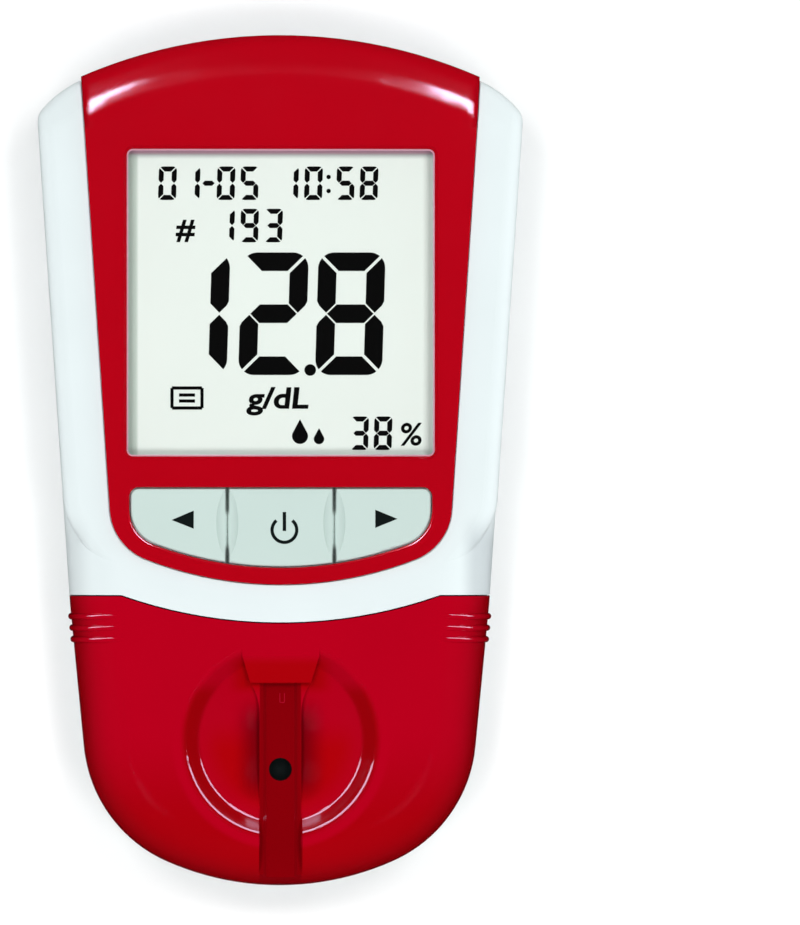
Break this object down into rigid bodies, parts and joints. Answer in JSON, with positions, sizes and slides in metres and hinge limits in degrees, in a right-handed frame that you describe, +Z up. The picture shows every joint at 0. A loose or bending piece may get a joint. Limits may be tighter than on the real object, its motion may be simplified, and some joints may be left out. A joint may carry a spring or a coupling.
{
  "type": "hemoglobin meter",
  "caption": "Palm-size blood hemoglobin meter with a square display, keys, a removable strip cover with dish and channel, and a hinged battery door.",
  "frame": {"origin": "middle of the underside, on the surface that the feet stand on", "axes": "+Z up through the display, +Y towards the display end, +X to the right as the display is read"},
  "size_m": [0.078, 0.137, 0.026],
  "materials": {
    "white_shell": "satin moulded ABS",
    "red_plate": "gloss moulded",
    "red_cover": "satin gloss moulded",
    "clear_lens": "clear acrylic",
    "key_grey": "satin moulded",
    "frame_white": "satin",
    "lcd_back": "reflective film",
    "lcd_glass": "clear",
    "lcd_face": "matt film",
    "elastomer": "matt",
    "circuit_board": "solder mask",
    "chip_black": "matt moulded",
    "bright_metal": "bright can",
    "ceramic_tan": "matt",
    "optics_black": "matt moulded",
    "window_glass": "dark polished",
    "rubber_black": "matt",
    "lamp_clear": "clear epoxy",
    "flex_amber": "film",
    "socket_plastic": "satin",
    "spring_steel": "nickel plated",
    "label_film": "matt film",
    "socket_black": "matt",
    "port_steel": "plated",
    "screw_steel": "zinc plated",
    "rubber_grey": "matt",
    "cell_wrap": "printed sleeve",
    "plunger_plastic": "satin"
  },
  "bodies": {
    "meter": {"upper_shell": "white_shell", "lower_shell": "white_shell", "nose_deck": "white_shell", "face_plate": "red_plate", "display_lens": "clear_lens", "lcd_frame": "frame_white", "lcd_reflector": "lcd_back", "lcd_panel": "lcd_glass", "lcd_polariser": "lcd_face", "zebra_strip": "elastomer", "main_board": "circuit_board", "optics_board": "circuit_board", "processor_chip": "chip_black", "memory_chip": "chip_black", "clock_crystal": "bright_metal", "board_passives": "ceramic_tan", "buzzer": "chip_black", "optics_block": "optics_black", "optics_window": "window_glass", "optics_gasket": "rubber_black", "optics_lamp": "lamp_clear", "photodiode": "lamp_clear", "optics_flex": "flex_amber", "board_flex_socket": "socket_plastic", "optics_flex_socket": "socket_plastic", "battery_springs": "spring_steel", "battery_plates": "spring_steel", "code_chip_socket": "socket_black", "data_port": "port_steel", "data_port_tongue": "chip_black", "case_screws": "screw_steel", "deck_screws": "screw_steel", "board_screws": "screw_steel", "rubber_feet": "rubber_grey", "battery_1": "cell_wrap", "battery_2": "cell_wrap", "battery_3": "cell_wrap", "battery_4": "cell_wrap", "switch_body_left": "chip_black", "switch_body_power": "chip_black", "switch_body_right": "chip_black"},
    "strip_cover": {"strip_cover": "red_cover"},
    "battery_door": {"battery_door": "white_shell", "blank_label": "label_film"},
    "left_button": {"left_button": "key_grey", "switch_plunger_left": "plunger_plastic"},
    "power_button": {"power_button": "key_grey", "switch_plunger_power": "plunger_plastic"},
    "right_button": {"right_button": "key_grey", "switch_plunger_right": "plunger_plastic"}
  },
  "joints": [
    {"name": "left_button_press", "type": "slide", "parent": "meter", "child": "left_button", "axis": [0, 0, -1], "range_m": [0, 0.0004], "stiffness_N_per_m": 600, "springref_m": -0.0015},
    {"name": "power_button_press", "type": "slide", "parent": "meter", "child": "power_button", "axis": [0, 0, -1], "range_m": [0, 0.0004], "stiffness_N_per_m": 600, "springref_m": -0.0015},
    {"name": "right_button_press", "type": "slide", "parent": "meter", "child": "right_button", "axis": [0, 0, -1], "range_m": [0, 0.0004], "stiffness_N_per_m": 600, "springref_m": -0.0015},
    {"name": "strip_cover_slide", "type": "slide", "parent": "meter", "child": "strip_cover", "axis": [0, -1, 0], "range_m": [0, 0.05]},
    {"name": "battery_door_hinge", "type": "hinge", "parent": "meter", "child": "battery_door", "pos_m": [0, -0.00335, 0.0019], "axis": [-1, 0, 0], "range_deg": [0, 75]}
  ]
}
